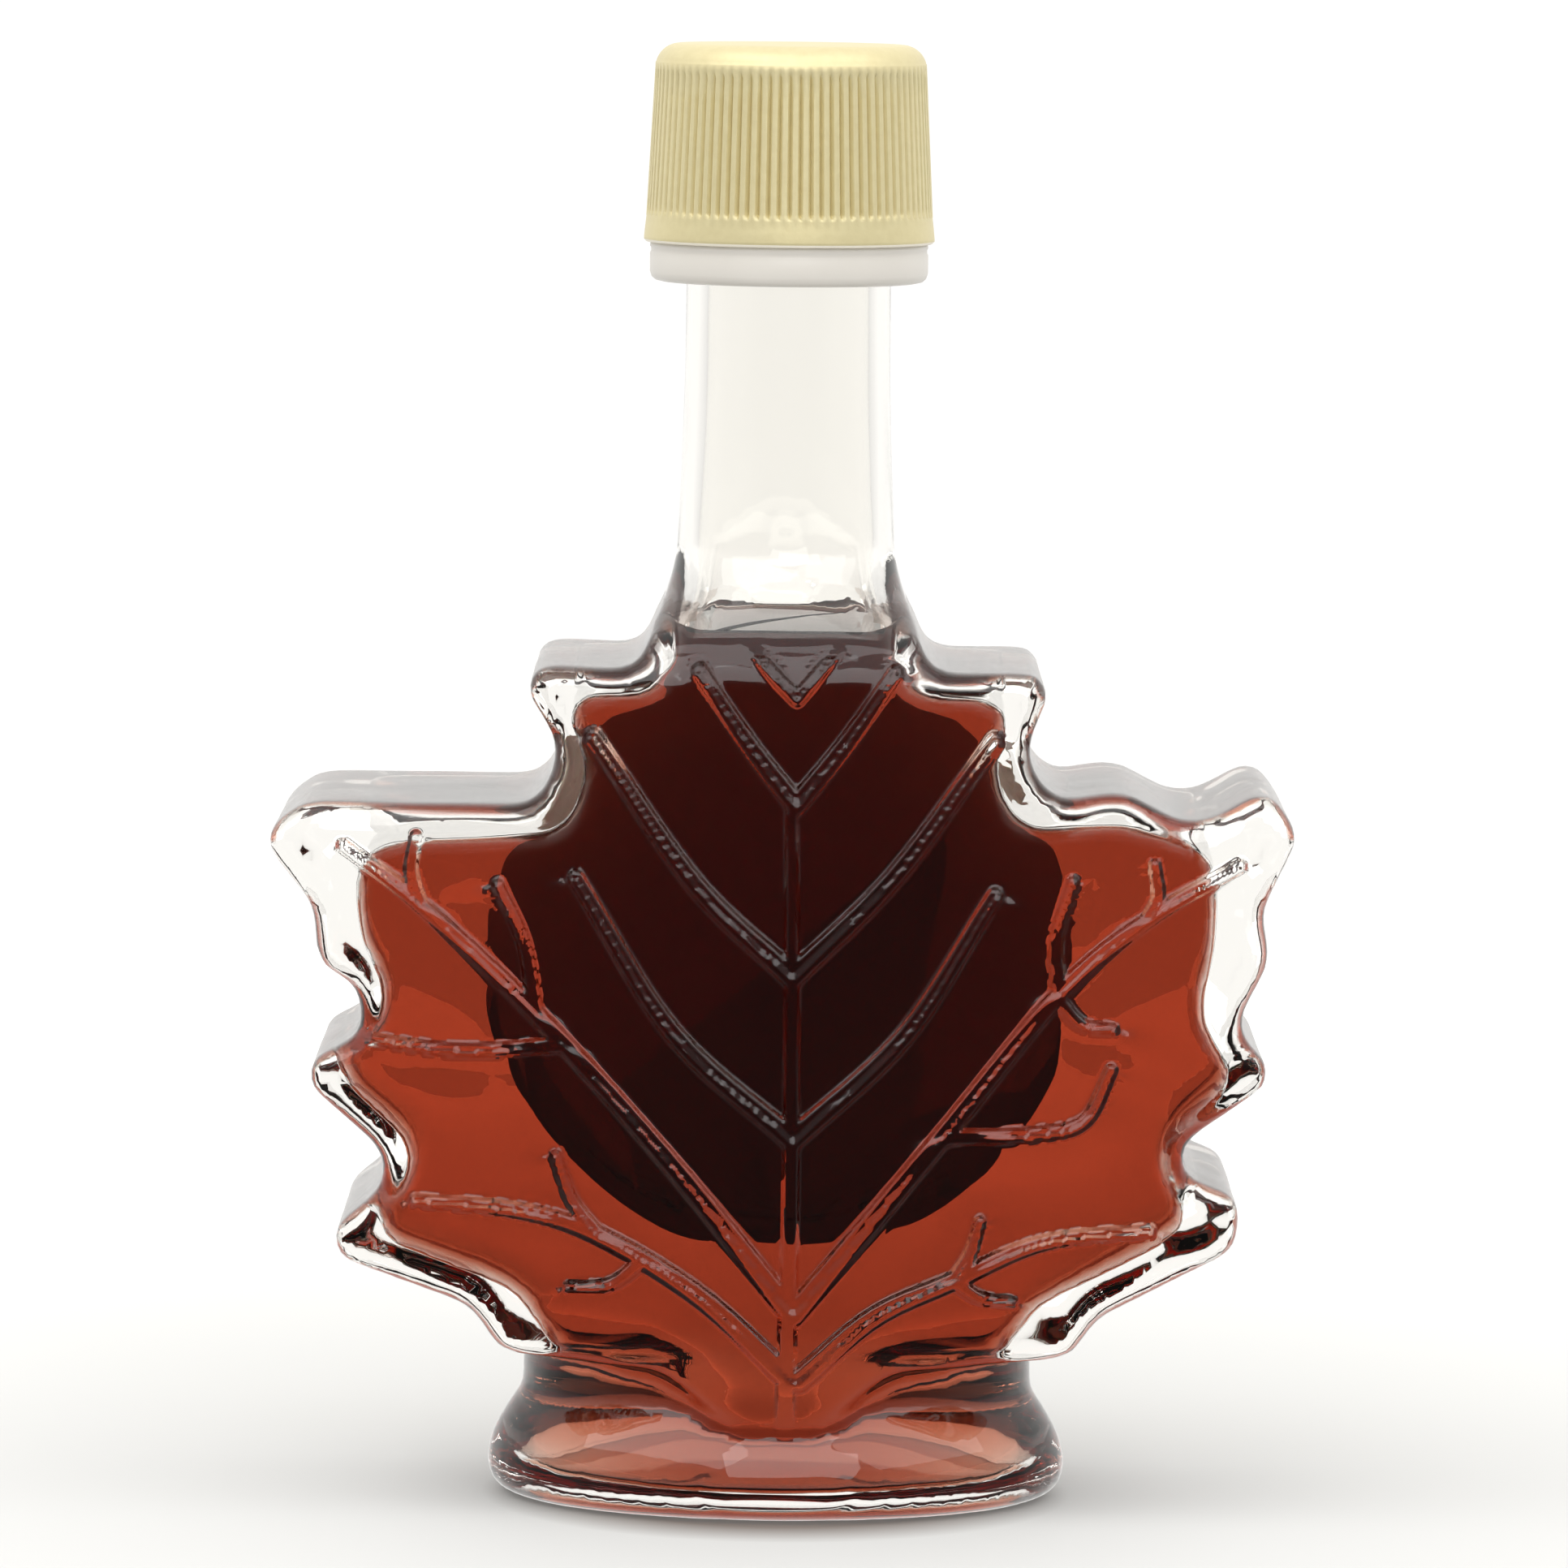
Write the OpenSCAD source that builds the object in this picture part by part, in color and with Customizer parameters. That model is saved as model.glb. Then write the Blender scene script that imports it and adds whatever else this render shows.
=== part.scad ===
// Syrup bottle in the shape of a maple leaf. The bottle faces -Y and stands on Z = 0.

/* [Leaf body] */
// Width of the leaf over its two largest lobes
leaf_w = 116; // [90:1:150]
// Height of the leaf, from the foot's waist up to the small top lobes
leaf_h = 78; // [64:1:96]
// Depth of the leaf at its edges
body_d = 43; // [37:0.5:50]
// How far the front face swells out at its middle
crown = 1.4; // [0.5:0.1:3]
// Rounding along the edges of the leaf
edge_r = 2.4; // [1:0.1:2.5]
// Thickness of the glass in the front and back faces
wall = 3.2; // [2.5:0.1:4.5]
// Rounding inside the edges of the hollow
inner_r = 2; // [1:0.1:2]

/* [Foot] */
// Width of the oval foot
foot_w = 66.8; // [58:0.2:80]
// Depth of the oval foot
foot_d = 48; // [46:0.5:56]
// How far the waist is set in from the foot's widest line
waist_in = 4.1; // [2:0.1:4.5]
// Height of the waist
waist_z = 12.5; // [10:0.5:15]
// Rounding of the heel
heel_r = 3.6; // [2:0.1:5]
// Thickness of the glass in the foot's sides
foot_wall = 3.6; // [3:0.1:5]
// Thickness of the glass in the base
base_t = 2.9; // [2.5:0.1:5]
// Depth of the hollow under the base
push_up = 1; // [0.5:0.1:1.2]

/* [Neck] */
// Height of the bottle's mouth
mouth_z = 165; // [155:1:190]
// Diameter of the neck just under the cap
neck_d = 23.4; // [21:0.1:25]
// How much wider the neck is where it meets the leaf
neck_flare = 2; // [1:0.1:2.5]
// Thickness of the glass in the neck
neck_wall = 2.5; // [2:0.1:3]
// Level of the syrup
level_z = 99.5; // [92:0.5:104]

/* [Closure] */
// Room for the thread between the neck and the cap
thread_gap = 1.4; // [1:0.1:2]
// Height of the cap
cap_h = 22.6; // [18:0.1:27]
// How much narrower the cap is just under its top
cap_taper = 2.2; // [0.5:0.1:3]
// Thickness of the cap's skirt
cap_wall = 2.4; // [1.6:0.1:3]
// Thickness of the cap's top
cap_top = 2; // [1.2:0.1:3]
// Rounding between the cap's side and its top
cap_r = 2.8; // [1.5:0.1:4]
// Number of ribs round the cap
ribs = 84; // [60:1:96]
// Width of the groove between two ribs
groove = 0.5; // [0.3:0.05:0.6]
// Height of the plain band under the ribs
plain_h = 3.4; // [2:0.1:5]
// Thickness of the tamper ring
ring_wall = 4.05; // [2:0.05:6]
// Height of the tamper ring
ring_h = 4.5; // [3:0.1:6]

/* [Label] */
// Diameter of the round label on the back
label_d = 67; // [40:1:68]
// Height of the label's middle
label_z = 61.5; // [58:0.5:64]
// Thickness of the label
label_t = 0.3; // [0.2:0.05:0.6]

/* [Hidden] */

half_d = body_d / 2;
leaf_z = 19;            // lowest line of the leaf's lobes
middle = [0, leaf_z + leaf_h / 2 - 2];  // of the leaf's face, as x and height
leaf_top = leaf_z + leaf_h;
slope_low = leaf_top - 2;     // the faces lean in to the neck from here
slope_top = leaf_top + 13;    // and meet it here
shoulder_z = leaf_top + 3;    // the leaf's flat sides turn round into the neck above this
fit = 0.15;                   // clearance between the ring and the neck
cap_in = neck_d / 2 + thread_gap;                 // radius inside the cap
cap_d = 2 * (cap_in + cap_wall + cap_taper / 2);  // the cap at its lower rim
ring_d = neck_d + 2 * (fit + ring_wall);
cap_z = mouth_z + cap_top - cap_h;
ring_z = cap_z - ring_h;

// Corners of the leaf's outline, clockwise from the neck: [x, height, rounding].
leaf_corners = [
    [15, 101.5, 0], [16.4, 96.9, 3.5], [31, 96.9, 2.5], [27.3, 88, 5],
    [30.4, 82.3, 4], [38.5, 83.8, 6], [46.6, 79.5, 6], [55, 84.2, 2.6], [58.7, 78.8, 3.5],
    [54.4, 70, 5], [55.6, 64.6, 5], [51.4, 56.6, 4], [57, 51.5, 2.6], [46, 43.8, 3],
    [45.8, 40, 2.6], [52.6, 37.5, 2.8], [52.2, 31.6, 3.5], [36.5, 23.6, 5], [33.4, 19.1, 3],
    [13, 16.8, 6], [4.6, 10, 4], [-4.6, 10, 4], [-13, 16.8, 6], [-31.4, 19.1, 3],
    [-35, 24.3, 5], [-53.4, 30.8, 2.8], [-42.4, 39.7, 4.5], [-55.6, 51, 2.6], [-47.2, 55.2, 3],
    [-48.2, 60.8, 3], [-52.6, 63, 3.5], [-53, 69.6, 5], [-59.5, 77.6, 3.2], [-54.2, 81.5, 5],
    [-27.4, 81.5, 4], [-25.3, 88.4, 5], [-31.2, 97.4, 2.5], [-16.4, 96.9, 3.5], [-15, 101.5, 0]];

// Corners of the hollow inside the leaf. Its lobes are blunt, so the leaf's tips are solid glass.
hollow_corners = [
    [11.6, 101.5, 0], [13.2, 93.8, 4.5], [26.6, 93.6, 3], [23.6, 85.8, 6],
    [26.4, 78.8, 5], [38.4, 79.6, 8], [49.4, 76.6, 4.5], [49.2, 66, 10], [47.4, 57.2, 8],
    [51, 50.8, 3.6], [42.2, 41.6, 6], [47.4, 34.2, 4.4], [30, 25, 8], [24, 22.6, 3],
    [-24, 22.6, 3], [-30, 26, 8], [-46.8, 32.2, 4], [-39.4, 40.2, 6], [-50, 50.6, 3.6],
    [-43.8, 57.6, 8], [-47.8, 66, 10], [-48.6, 76.4, 4.5], [-24.2, 78, 5], [-21.8, 85.8, 6],
    [-25.8, 93.6, 3], [-13.2, 93.8, 4.5], [-11.6, 101.5, 0]];

// The corners are drawn for a leaf of this width and height.
drawn_w = 116.4;
drawn_h = 78;

function fitted(corners) = [for (c = corners)
    [c.x * (abs(c.x) > 17 ? leaf_w / drawn_w : 1),
     c.y < leaf_z ? c.y : leaf_z + (c.y - leaf_z) * leaf_h / drawn_h, c.z]];

function flat(v) = [v.x, v.y];
function dir(a, b) = (b - a) / norm(b - a);

// Points along a corner: one where it is sharp, an arc where it is rounded.
function corner(before, at, after, r) =
    let (u = dir(at, before), v = dir(at, after), half = acos(max(-1, min(1, u * v))) / 2)
    let (room = min(norm(before - at), norm(after - at)) * 0.48)
    let (t = min(r / tan(half), room), rr = t * tan(half))
    let (turn = 180 - 2 * half, steps = max(1, ceil(turn / 38)))
    let (mid = at + (u + v) / norm(u + v) * rr / sin(half))
    let (p = at + u * t - mid, q = at + v * t - mid, side = p.x * q.y - p.y * q.x > 0 ? 1 : -1)
    r == 0 ? [at] : [for (i = [0 : steps]) let (a = side * turn * i / steps)
        mid + [p.x * cos(a) - p.y * sin(a), p.x * sin(a) + p.y * cos(a)]];

function outline(corners) = let (n = len(corners))
    [for (i = [0 : n - 1]) each corner(flat(corners[(i + n - 1) % n]), flat(corners[i]),
        flat(corners[(i + 1) % n]), corners[i].z)];

// Unit vectors that point inwards from each point of a clockwise outline.
function inward(pts) = let (n = len(pts))
    [for (i = [0 : n - 1]) let (d = dir(pts[(i + n - 1) % n], pts[i]) + dir(pts[i], pts[(i + 1) % n]))
        [d.y, -d.x] / norm(d)];

// How far the front face stands out at a point: a shallow dome about the leaf's middle.
function swell_at(p, swell) = swell * max(0, 1 - pow(norm(p - middle) / (leaf_w / 2 + 6), 2));

// Half the depth between the faces at a height: deep in the leaf, then leaning in to the neck.
function lean_d(z, deep, narrow) = let (t = max(0, min(1, (z - slope_low) / (slope_top - slope_low))))
    deep + (narrow - deep) * t * t * (3 - 2 * t);

// A ring of the outline, moved in by in and drawn towards the leaf's middle by f. It lies back from
// the face by less, on the side of the front (-1) or the back (1).
function ring_at(pts, ins, in, f, deep, narrow, less, side, swell) = [for (i = [0 : len(pts) - 1])
    let (p = middle + (pts[i] + ins[i] * in - middle) * f)
        [p.x, side * (lean_d(p.y, deep, narrow) - less + (side < 0 ? swell_at(p, swell) : 0)), p.y]];

// The leaf as a solid: this outline, deep to each side, with edges rounded by r and a swelling front.
module slab(corners, deep, narrow, r, swell) {
    pts = outline(corners);
    ins = inward(pts);
    n = len(pts);
    outer_draw = 0.84;
    angles = [90, 45, 0];
    rings = concat(
        [ring_at(pts, ins, r, outer_draw, deep, narrow, 0, 1, 0)],
        [for (a = angles) ring_at(pts, ins, r * (1 - cos(a)), 1, deep, narrow, r * (1 - sin(a)), 1, 0)],
        [for (i = [2 : -1 : 0]) let (a = angles[i])
            ring_at(pts, ins, r * (1 - cos(a)), 1, deep, narrow, r * (1 - sin(a)), -1, swell)],
        [for (f = swell > 0 ? [outer_draw, 0.45] : [outer_draw])
            ring_at(pts, ins, r, f, deep, narrow, 0, -1, swell)]);
    last = len(rings) - 1;
    points = concat([for (ring = rings) each ring],
        [[middle.x, deep, middle.y], [middle.x, -deep - swell, middle.y]]);
    faces = concat(
        [for (k = [0 : last - 1], i = [0 : n - 1]) let (j = (i + 1) % n)
            each [[k * n + i, k * n + j, (k + 1) * n + j], [k * n + i, (k + 1) * n + j, (k + 1) * n + i]]],
        [for (i = [0 : n - 1]) [len(points) - 2, (i + 1) % n, i]],
        [for (i = [0 : n - 1]) [len(points) - 1, last * n + i, last * n + (i + 1) % n]]);
    polyhedron(points, faces, convexity = 8);
}

// Shoulder: from the leaf's oblong section, edges rounded by r, to the round of the neck.
module shoulder(side, deep, narrow, r, swell) {
    steps = 5;
    low = shoulder_z - 1;
    high = slope_top + 1;
    rise = (high - low) / steps;
    for (i = [0 : steps - 1]) hull() for (z = [low + rise * i, low + rise * (i + 1)])
        let (t = max(0, min(1, (z - shoulder_z) / (slope_top - shoulder_z))))
        let (x = narrow + (side - narrow) * pow(1 - t, 1.7), y = lean_d(z, deep, narrow))
        let (c = r + (narrow - r) * t * (2 - t), out = swell_at([0, z], swell) * (1 - t))
            translate([0, 0, z]) linear_extrude(0.01) hull() for (sx = [-1, 1], sy = [-1, 1])
                translate([sx * max(0, x - c), sy * max(0, y - c) - (sy < 0 ? out : 0)])
                    circle(min(c, x, y), $fn = 24);
}

// Neck's radius at a height, from its foot in the leaf to the cap.
function neck_r(z) = let (t = max(0, min(1, (z - slope_low) / (ring_z - slope_low))))
    neck_d / 2 + neck_flare * pow(1 - t, 2.2);

neck_out = neck_r(slope_top);
neck_in = neck_out - neck_wall;

module neck_shape(less, low, high) {
    zs = [for (up = [12, 22, 36]) if (slope_low + up < high - 0.5) slope_low + up];
    rotate_extrude($fn = 44)
        polygon(concat([[0, low]], [for (z = concat([low], zs, [high])) [neck_r(z) - less, z]], [[0, high]]));
}

// Thin oval slices joined in pairs: each is [height, half width, half depth].
module joined(slices) {
    for (i = [0 : len(slices) - 2]) hull() for (s = [slices[i], slices[i + 1]])
        translate([0, 0, s[0]]) linear_extrude(0.01) scale([s[1], s[2]]) circle(1, $fn = 40);
}

function in_at_foot(z) = z < heel_r ? heel_r - sqrt(heel_r * heel_r - pow(heel_r - z, 2))
    : waist_in * (1 - cos(90 * min(1, (z - heel_r) / (waist_z - heel_r))));

module foot_shape() {
    heel = [for (a = [0, 40, 90]) heel_r * (1 - cos(a))];
    flare = [for (t = [0.35, 0.7, 1]) heel_r + (waist_z - heel_r) * t];
    joined([for (z = concat(heel, flare, [leaf_z + 3]))
        [z, foot_w / 2 - in_at_foot(z), foot_d / 2 - in_at_foot(z) * 1.1]]);
}

module foot_hollow() {
    w = foot_w / 2 - waist_in - foot_wall;
    d = foot_d / 2 - waist_in * 1.1 - foot_wall + 0.4;
    round_r = 4;
    out = waist_in * 0.75;   // the hollow widens below the waist, as the foot does
    joined([for (a = [15, 40, 65, 90]) let (in = round_r * (1 - sin(a)) - out)
        [base_t + round_r * (1 - cos(a)), w - in, d - in],
        [waist_z, w, d], [leaf_z + 6, w - 0.5, d]]);
}

// The space inside the glass, up to a height.
module hollow(top) intersection() {
    translate([0, 0, top / 2]) cube([2 * leaf_w, 2 * body_d, top], center = true);
    union() {
        slab(fitted(hollow_corners), half_d - wall, neck_in, inner_r, 0);
        foot_hollow();
        shoulder(12, half_d - wall, neck_in, inner_r, 0);
        neck_shape(neck_wall, slope_low, mouth_z + 2);
    }
}

module bottle() color([0.93, 0.92, 0.88, 0.5]) difference() {
    union() {
        slab(fitted(leaf_corners), half_d, neck_out, edge_r, crown);
        shoulder(15.6, half_d, neck_out, edge_r, crown);
        neck_shape(0, slope_low - 3, mouth_z);
        foot_shape();
    }
    hollow(mouth_z + 2);
    scale([foot_w / 2 - heel_r - 3, foot_d / 2 - heel_r - 3, push_up]) sphere(1, $fn = 24);
}

module syrup() color([0.55, 0.2, 0.1]) hollow(level_z);

// Half of the cap's section, from its axis: outside, then the hollow inside.
module cap_section() {
    top_r = (cap_d - cap_taper) / 2;
    turn = [for (a = [0 : 15 : 90]) [top_r - cap_r * (1 - cos(a)), cap_h - cap_r * (1 - sin(a))]];
    polygon(concat([[cap_in + 0.6, 0], [cap_d / 2, 0], [cap_d / 2 - 0.25, plain_h]], turn,
        [[0, cap_h], [0, cap_h - cap_top], [cap_in, cap_h - cap_top]]));
}

module cap() color([0.84, 0.78, 0.6]) translate([0, 0, cap_z]) difference() {
    rotate_extrude($fn = 96) cap_section();
    lean_in = atan((cap_taper / 2 - 0.25) / (cap_h - plain_h - cap_r));
    for (i = [0 : ribs - 1]) rotate([0, 0, i * 360 / ribs])
        translate([cap_d / 2 - 0.25, 0, plain_h]) rotate([0, -lean_in, 0])
            translate([-0.4, -groove / 2, 0]) cube([2, groove, cap_h - plain_h - cap_r + 0.4]);
}

module tamper_ring() color([0.9, 0.88, 0.83]) translate([0, 0, ring_z]) rotate_extrude($fn = 96) {
    inner = neck_d / 2 + fit;
    corner_r = 1;
    polygon(concat([[inner, 0]],
        [for (a = [0 : 15 : 90]) [ring_d / 2 - corner_r * (1 - sin(a)), corner_r * (1 - cos(a))]],
        [[ring_d / 2, ring_h], [inner, ring_h]]));
}

module back_label() color([0.93, 0.9, 0.82])
    translate([0, half_d, label_z]) rotate([-90, 0, 0]) cylinder(d = label_d, h = label_t, $fn = 96);

bottle();
syrup();
cap();
tamper_ring();
back_label();
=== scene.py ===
"""A leaf-shaped glass bottle of syrup, with a ribbed gold cap, on a pale floor."""
import math

import bmesh
import bpy
import numpy as np
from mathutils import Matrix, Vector, noise
from mathutils.bvhtree import BVHTree


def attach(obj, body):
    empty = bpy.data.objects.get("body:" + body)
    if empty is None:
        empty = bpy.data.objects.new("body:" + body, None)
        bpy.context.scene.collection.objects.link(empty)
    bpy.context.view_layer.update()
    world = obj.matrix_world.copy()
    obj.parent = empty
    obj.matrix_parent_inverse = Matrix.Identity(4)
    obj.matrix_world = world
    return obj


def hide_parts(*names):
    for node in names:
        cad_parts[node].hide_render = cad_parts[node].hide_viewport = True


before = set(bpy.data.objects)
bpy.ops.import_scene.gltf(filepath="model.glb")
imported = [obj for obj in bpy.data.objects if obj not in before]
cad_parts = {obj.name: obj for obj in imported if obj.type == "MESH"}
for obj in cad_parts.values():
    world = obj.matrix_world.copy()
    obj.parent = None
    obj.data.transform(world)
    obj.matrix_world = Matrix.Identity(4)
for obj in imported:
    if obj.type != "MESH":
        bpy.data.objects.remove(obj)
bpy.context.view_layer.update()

MM = 0.001

# Sizes, in millimetres.
LEAF_Z, LEAF_H, LEAF_W = 19.0, 78.0, 116.0
HALF_D = 21.5
CROWN = 1.4
WALL = 3.2
EDGE_R = 2.4
INNER_R = 2.0
MOUTH_Z = 165.0
NECK_R, NECK_FLARE, NECK_WALL = 11.7, 2.0, 2.5
SLOPE_LOW, SLOPE_TOP, SHOULDER_Z = 95.0, 110.0, 100.0
RING_Z, RING_R = 139.9, 15.9
FOOT_W, FOOT_D, WAIST_IN, WAIST_Z, HEEL_R = 66.8, 48.0, 4.1, 12.5, 3.6
FOOT_WALL, BASE_T, PUSH_UP = 3.6, 2.9, 1.0
LEVEL_Z = 99.5
LABEL_Z, LABEL_R, LABEL_T = 61.5, 33.5, 0.3
MIDDLE = np.array([0.0, LEAF_Z + LEAF_H / 2 - 2])

# Corners of the leaf's outline, clockwise from the neck: x, height, rounding.
LEAF = [
    (15, 101.5, 0), (16.4, 96.9, 3.5), (31, 96.9, 2.5), (27.3, 88, 5), (30.4, 82.3, 4), (38.5, 83.8, 6),
    (46.6, 79.5, 6), (55, 84.2, 2.6), (58.7, 78.8, 3.5), (54.4, 70, 5), (55.6, 64.6, 5), (51.4, 56.6, 4),
    (57, 51.5, 2.6), (46, 43.8, 3), (45.8, 40, 2.6), (52.6, 37.5, 2.8), (52.2, 31.6, 3.5), (36.5, 23.6, 5),
    (33.4, 19.1, 3), (13, 16.8, 6), (4.6, 10, 4), (-4.6, 10, 4), (-13, 16.8, 6), (-31.4, 19.1, 3),
    (-35, 24.3, 5), (-53.4, 30.8, 2.8), (-42.4, 39.7, 4.5), (-55.6, 51, 2.6), (-47.2, 55.2, 3),
    (-48.2, 60.8, 3), (-52.6, 63, 3.5), (-53, 69.6, 5), (-59.5, 77.6, 3.2), (-54.2, 81.5, 5),
    (-27.4, 81.5, 4), (-25.3, 88.4, 5), (-31.2, 97.4, 2.5), (-16.4, 96.9, 3.5), (-15, 101.5, 0)]

# Corners of the hollow, whose lobes are blunt: the leaf's tips are solid glass.
HOLLOW = [
    (11.6, 101.5, 0), (13.2, 93.8, 4.5), (26.6, 93.6, 3), (23.6, 85.8, 6), (26.4, 78.8, 5), (38.4, 79.6, 8),
    (49.4, 76.6, 4.5), (49.2, 66, 10), (47.4, 57.2, 8), (52.2, 51, 3.2), (42.2, 41.6, 6), (48.4, 34.4, 3.8),
    (30, 25, 8), (24.6, 18.6, 4), (-24.6, 18.6, 4), (-30, 26, 8), (-48.4, 32.9, 3.6), (-39.4, 40.2, 6),
    (-51.2, 51, 3.2), (-43.8, 57.6, 8), (-47.8, 66, 10), (-48.6, 76.4, 4.5), (-24.2, 78, 5),
    (-21.8, 85.8, 6), (-25.8, 93.6, 3), (-13.2, 93.8, 4.5), (-11.6, 101.5, 0)]
DRAWN_W = 116.4

# Veins on the leaf's face: points as x and height, then the width at the start and at the end.
VEINS = [
    ([(1, 10), (1.4, 45), (1, 81)], 2.0, 1.3),
    ([(1.5, 82), (-4, 89), (-9.5, 97)], 2.2, 1.7), ([(1.5, 82), (7, 89), (12.5, 97)], 2.2, 1.7),
    ([(1.5, 94), (-1.5, 97), (-4, 100)], 1.6, 1.2), ([(1.5, 94), (4, 97), (6, 99.5)], 1.6, 1.2),
    ([(1.3, 62.5), (-9.8, 73), (-21.4, 89.5)], 2.3, 1.8), ([(1.3, 62.5), (12.6, 74), (23.8, 89.5)], 2.3, 1.8),
    ([(1.5, 44), (-12, 56), (-23.2, 73.5)], 2.3, 1.7), ([(1.5, 44), (14, 56), (24, 72)], 2.3, 1.7),
    ([(1.8, 24), (-12, 41), (-27.5, 58), (-41, 70.5), (-49.5, 76.8)], 2.4, 1.4),
    ([(-27.6, 58), (-29, 66), (-32, 72.6)], 1.7, 1.2),
    ([(-40.8, 70.3), (-41.8, 74), (-41.3, 78)], 1.6, 1.2),
    ([(-24.6, 54.6), (-36, 53.8), (-46.8, 55)], 1.7, 1.1),
    ([(1.8, 24), (17.8, 43.8), (31.5, 61), (41.5, 69.6), (51.6, 75.6)], 2.4, 1.4),
    ([(31.5, 61), (31, 67), (32.8, 73.6)], 1.7, 1.2),
    ([(41.4, 69.6), (42.4, 72), (42, 75.6)], 1.6, 1.2),
    ([(18.5, 44.5), (29, 45), (34.5, 46.6), (37.4, 52.4)], 1.7, 1.2),
    ([(31.2, 60.5), (34, 57.6), (37.6, 57)], 1.5, 1.1),
    ([(1.6, 16.5), (-8.7, 26), (-20.4, 33), (-29.2, 35.6), (-41, 36.6)], 2.4, 1.3),
    ([(-20.4, 33), (-23.4, 37), (-25.2, 42)], 1.6, 1.1),
    ([(-15.4, 30), (-18.9, 27.4), (-23.6, 27)], 1.6, 1.1),
    ([(2.6, 16.5), (10.8, 23.8), (20, 28.2), (30, 32.6), (42, 34)], 2.4, 1.3),
    ([(20, 28.2), (21.8, 31.4), (22.8, 35)], 1.6, 1.1),
    ([(20, 28.2), (22.8, 26.3), (26.6, 25.8)], 1.6, 1.1),
    # faint folds where the shoulder runs into the neck
    ([(-6.4, 110.5), (-7.7, 107.2), (-10.2, 105)], 0.4, 0.5), ([(-6.6, 106.6), (-9.6, 104.2)], 0.4, 0.5),
    ([(-3.8, 107.6), (-5.2, 105), (-8.2, 103)], 0.4, 0.5),
    ([(7.2, 108), (8.2, 105.2), (10.4, 103.6)], 0.4, 0.5),
    ([(8.6, 107.4), (10.8, 104.6)], 0.4, 0.5), ([(4, 105.6), (5.4, 102.8), (7.4, 101)], 0.4, 0.5)]
VEIN_H = 0.85
VEIN_FLANK = 0.5
PILLOW = 0.42


# ---------- shapes ----------

def arc(before, at, after, radius, step=9.0):
    """Points round one corner of an outline."""
    before, at, after = (np.array(p, float) for p in (before, at, after))
    if radius == 0:
        return [at]
    u, v = before - at, after - at
    room = 0.48 * min(np.linalg.norm(u), np.linalg.norm(v))
    u, v = u / np.linalg.norm(u), v / np.linalg.norm(v)
    half = math.acos(max(-1.0, min(1.0, float(u @ v)))) / 2
    reach = min(radius / math.tan(half), room)
    radius = reach * math.tan(half)
    centre = at + (u + v) / np.linalg.norm(u + v) * radius / math.sin(half)
    p, q = at + u * reach - centre, at + v * reach - centre
    turn = math.copysign(math.pi - 2 * half, p[0] * q[1] - p[1] * q[0])
    steps = max(2, math.ceil(abs(math.degrees(turn)) / step))
    angles = [turn * i / steps for i in range(steps + 1)]
    square = np.array([-p[1], p[0]])
    return [centre + p * math.cos(a) + square * math.sin(a) for a in angles]


def outline(corners):
    """The rounded outline as an array of x and height, and the unit vectors that point into it."""
    stretch = LEAF_W / DRAWN_W
    pts = [((x * stretch if abs(x) > 17 else x), z) for x, z, r in corners]
    n = len(pts)
    out = np.array([p for i in range(n) for p in arc(pts[i - 1], pts[i], pts[(i + 1) % n], corners[i][2])])
    before = out - np.roll(out, 1, axis=0)
    after = np.roll(out, -1, axis=0) - out
    along = before / np.linalg.norm(before, axis=1)[:, None] + after / np.linalg.norm(after, axis=1)[:, None]
    inward = np.stack([along[:, 1], -along[:, 0]], axis=1)
    return out, inward / np.linalg.norm(inward, axis=1)[:, None]


def lean(z, deep, narrow):
    """Half the depth between the leaf's faces at a height."""
    t = np.clip((np.asarray(z, float) - SLOPE_LOW) / (SLOPE_TOP - SLOPE_LOW), 0, 1)
    return deep + (narrow - deep) * t * t * (3 - 2 * t)


def swell(x, z, crown):
    """How far the front face stands out: a shallow dome about the leaf's middle."""
    far = np.hypot(x - MIDDLE[0], z - MIDDLE[1]) / (LEAF_W / 2 + 6)
    return crown * np.maximum(0, 1 - far ** 2)


def loft(name, rings, ends):
    """A closed solid through rings of equal length, each end closed by a fan to a point."""
    n = len(rings[0])
    verts = [tuple(MM * c for c in p) for ring in rings + [ends] for p in ring]
    faces = [(k * n + i, k * n + (i + 1) % n, (k + 1) * n + (i + 1) % n, (k + 1) * n + i)
             for k in range(len(rings) - 1) for i in range(n)]
    first, last = len(verts) - 2, (len(rings) - 1) * n
    faces += [(first, (i + 1) % n, i) for i in range(n)]
    faces += [(first + 1, last + i, last + (i + 1) % n) for i in range(n)]
    mesh = bpy.data.meshes.new(name)
    mesh.from_pydata(verts, [], faces)
    piece = bpy.data.objects.new(name, mesh)
    bpy.context.collection.objects.link(piece)
    shape = bmesh.new()
    shape.from_mesh(mesh)
    bmesh.ops.recalc_face_normals(shape, faces=shape.faces)
    shape.to_mesh(mesh)
    shape.free()
    return piece


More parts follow.
